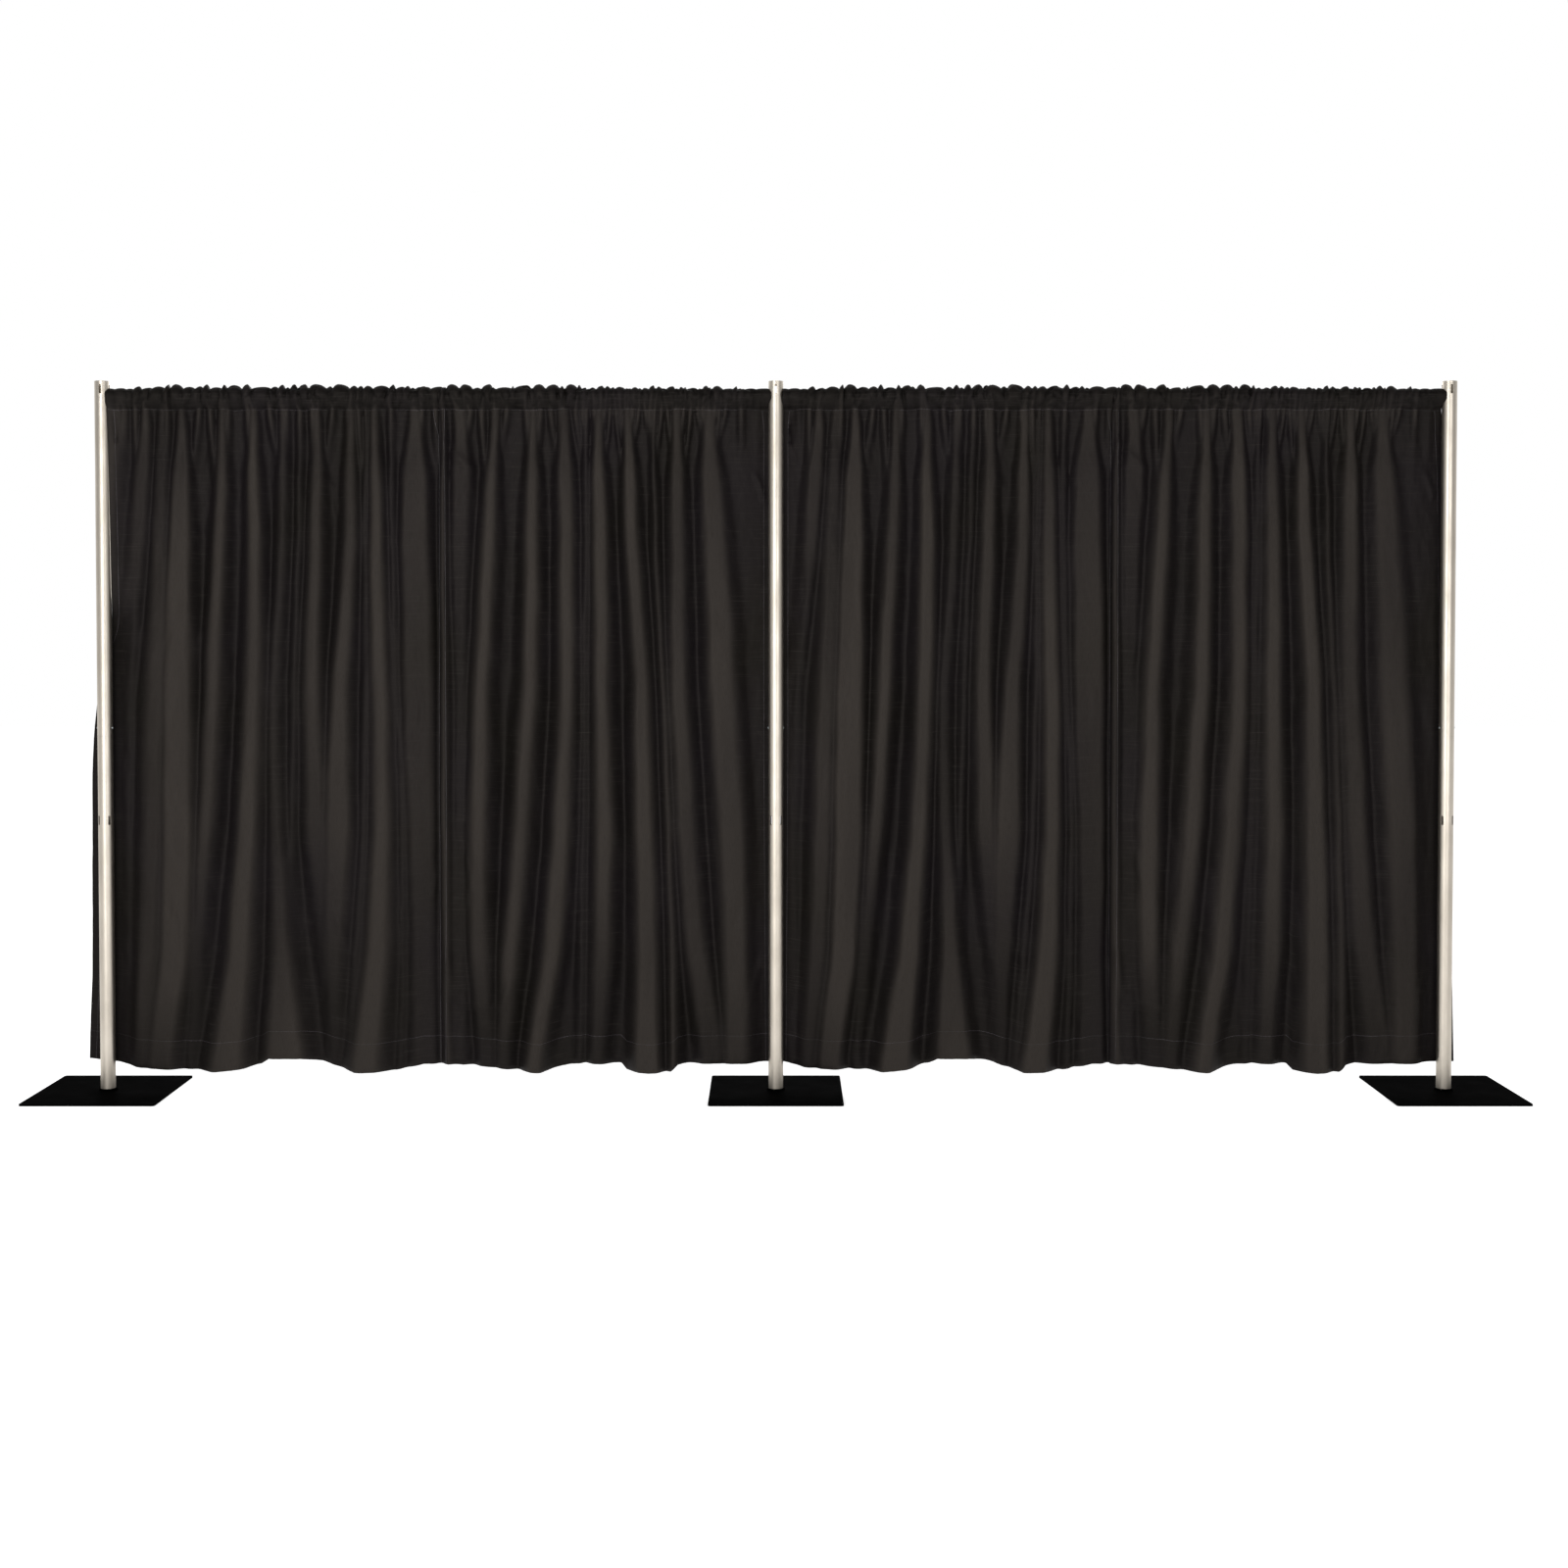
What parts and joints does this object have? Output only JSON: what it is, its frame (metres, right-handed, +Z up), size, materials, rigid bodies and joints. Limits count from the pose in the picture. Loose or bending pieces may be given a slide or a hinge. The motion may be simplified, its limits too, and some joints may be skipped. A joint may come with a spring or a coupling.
{
  "type": "pipe and drape backdrop",
  "caption": "Free-standing black cloth backdrop hung on telescoping crossbars between slotted aluminium uprights on square steel base plates.",
  "frame": {"origin": "on the floor under the axis of the centre upright", "axes": "+X along the backdrop to the right seen from the front, -Y to the front, +Z up"},
  "size_m": [5.0852, 0.4572, 2.4516],
  "materials": {
    "satin_aluminium": "satin anodised extruded tube",
    "mill_aluminium": "mill finish tube",
    "black_steel_plate": "matt black powder coat on steel",
    "zinc_steel": "zinc plated",
    "spring_steel": "tempered strip",
    "black_nylon": "moulded nylon",
    "black_drape_cloth": "black polyester with a soft satin sheen"
  },
  "bodies": {
    "centre_upright": {"centre_lower_tube": "satin_aluminium", "centre_coupler_sleeve": "mill_aluminium", "centre_upper_tube": "satin_aluminium", "centre_button_spring": "spring_steel"},
    "centre_base_pin": {"centre_base_pin": "black_steel_plate", "centre_pin_bolt": "zinc_steel", "centre_pin_nut": "zinc_steel"},
    "centre_base_plate": {"centre_base_plate": "black_steel_plate"},
    "centre_button_left": {"centre_button_left": "zinc_steel"},
    "centre_button_right": {"centre_button_right": "zinc_steel"},
    "left_upright": {"left_lower_tube": "satin_aluminium", "left_coupler_sleeve": "mill_aluminium", "left_upper_tube": "satin_aluminium", "left_button_spring": "spring_steel"},
    "left_base_pin": {"left_base_pin": "black_steel_plate", "left_pin_bolt": "zinc_steel", "left_pin_nut": "zinc_steel"},
    "left_base_plate": {"left_base_plate": "black_steel_plate"},
    "left_button_left": {"left_button_left": "zinc_steel"},
    "left_button_right": {"left_button_right": "zinc_steel"},
    "right_upright": {"right_lower_tube": "satin_aluminium", "right_coupler_sleeve": "mill_aluminium", "right_upper_tube": "satin_aluminium", "right_button_spring": "spring_steel"},
    "right_base_pin": {"right_base_pin": "black_steel_plate", "right_pin_bolt": "zinc_steel", "right_pin_nut": "zinc_steel"},
    "right_base_plate": {"right_base_plate": "black_steel_plate"},
    "right_button_left": {"right_button_left": "zinc_steel"},
    "right_button_right": {"right_button_right": "zinc_steel"},
    "left_bar_outer": {"left_inboard_hook": "zinc_steel", "left_inboard_rivet_1": "zinc_steel", "left_inboard_rivet_2": "zinc_steel", "left_bar_outer_tube": "satin_aluminium", "left_mouth_bushing": "black_nylon", "left_drape_inner": "black_drape_cloth"},
    "left_bar_inner": {"left_outboard_hook": "zinc_steel", "left_outboard_rivet_1": "zinc_steel", "left_outboard_rivet_2": "zinc_steel", "left_bar_inner_tube": "satin_aluminium", "left_inner_glide": "black_nylon", "left_drape_outer": "black_drape_cloth"},
    "right_bar_outer": {"right_inboard_hook": "zinc_steel", "right_inboard_rivet_1": "zinc_steel", "right_inboard_rivet_2": "zinc_steel", "right_bar_outer_tube": "satin_aluminium", "right_mouth_bushing": "black_nylon", "right_drape_inner": "black_drape_cloth"},
    "right_bar_inner": {"right_outboard_hook": "zinc_steel", "right_outboard_rivet_1": "zinc_steel", "right_outboard_rivet_2": "zinc_steel", "right_bar_inner_tube": "satin_aluminium", "right_inner_glide": "black_nylon", "right_drape_outer": "black_drape_cloth"}
  },
  "joints": [
    {"name": "left_crossbar_lift", "type": "slide", "parent": "centre_upright", "child": "left_bar_outer", "axis": [0, 0, 1], "range_m": [0, 0.0125]},
    {"name": "left_telescope", "type": "slide", "parent": "left_bar_outer", "child": "left_bar_inner", "axis": [-1, 0, 0], "range_m": [-0.5, 0.72], "deforming": ["left_drape_inner", "left_drape_outer"]},
    {"name": "left_hook_seat", "type": "slide", "parent": "left_bar_inner", "child": "left_upright", "axis": [0, 0, 1], "range_m": [-0.0125, 0]},
    {"name": "right_crossbar_lift", "type": "slide", "parent": "centre_upright", "child": "right_bar_outer", "axis": [0, 0, 1], "range_m": [0, 0.0125]},
    {"name": "right_telescope", "type": "slide", "parent": "right_bar_outer", "child": "right_bar_inner", "axis": [1, 0, 0], "range_m": [-0.5, 0.72], "deforming": ["right_drape_inner", "right_drape_outer"]},
    {"name": "right_hook_seat", "type": "slide", "parent": "right_bar_inner", "child": "right_upright", "axis": [0, 0, 1], "range_m": [-0.0125, 0]},
    {"name": "left_base_slide", "type": "slide", "parent": "left_upright", "child": "left_base_pin", "axis": [0, 0, 1], "range_m": [-0.16, 0]},
    {"name": "left_plate_turn", "type": "hinge", "parent": "left_base_pin", "child": "left_base_plate", "pos_m": [-2.314, 0, 0.003], "axis": [0, 0, 1], "continuous": true},
    {"name": "left_button_left_press", "type": "slide", "parent": "left_upright", "child": "left_button_left", "axis": [-1, 0, 0], "range_m": [-0.0056, 0], "stiffness_N_per_m": 2000, "springref_m": 0.003, "deforming": ["left_button_spring"]},
    {"name": "left_button_right_press", "type": "slide", "parent": "left_upright", "child": "left_button_right", "axis": [1, 0, 0], "range_m": [-0.0056, 0], "stiffness_N_per_m": 2000, "springref_m": 0.003},
    {"name": "centre_base_slide", "type": "slide", "parent": "centre_upright", "child": "centre_base_pin", "axis": [0, 0, 1], "range_m": [-0.16, 0]},
    {"name": "centre_plate_turn", "type": "hinge", "parent": "centre_base_pin", "child": "centre_base_plate", "pos_m": [0, 0, 0.003], "axis": [0, 0, 1], "continuous": true},
    {"name": "centre_button_left_press", "type": "slide", "parent": "centre_upright", "child": "centre_button_left", "axis": [-1, 0, 0], "range_m": [-0.0056, 0], "stiffness_N_per_m": 2000, "springref_m": 0.003, "deforming": ["centre_button_spring"]},
    {"name": "centre_button_right_press", "type": "slide", "parent": "centre_upright", "child": "centre_button_right", "axis": [1, 0, 0], "range_m": [-0.0056, 0], "stiffness_N_per_m": 2000, "springref_m": 0.003},
    {"name": "right_base_slide", "type": "slide", "parent": "right_upright", "child": "right_base_pin", "axis": [0, 0, 1], "range_m": [-0.16, 0]},
    {"name": "right_plate_turn", "type": "hinge", "parent": "right_base_pin", "child": "right_base_plate", "pos_m": [2.314, 0, 0.003], "axis": [0, 0, 1], "continuous": true},
    {"name": "right_button_left_press", "type": "slide", "parent": "right_upright", "child": "right_button_left", "axis": [-1, 0, 0], "range_m": [-0.0056, 0], "stiffness_N_per_m": 2000, "springref_m": 0.003, "deforming": ["right_button_spring"]},
    {"name": "right_button_right_press", "type": "slide", "parent": "right_upright", "child": "right_button_right", "axis": [1, 0, 0], "range_m": [-0.0056, 0], "stiffness_N_per_m": 2000, "springref_m": 0.003}
  ],
  "couplings": [
    {"joint": "left_hook_seat", "follows": "left_crossbar_lift", "ratio": -1},
    {"joint": "right_hook_seat", "follows": "right_crossbar_lift", "ratio": -1}
  ]
}
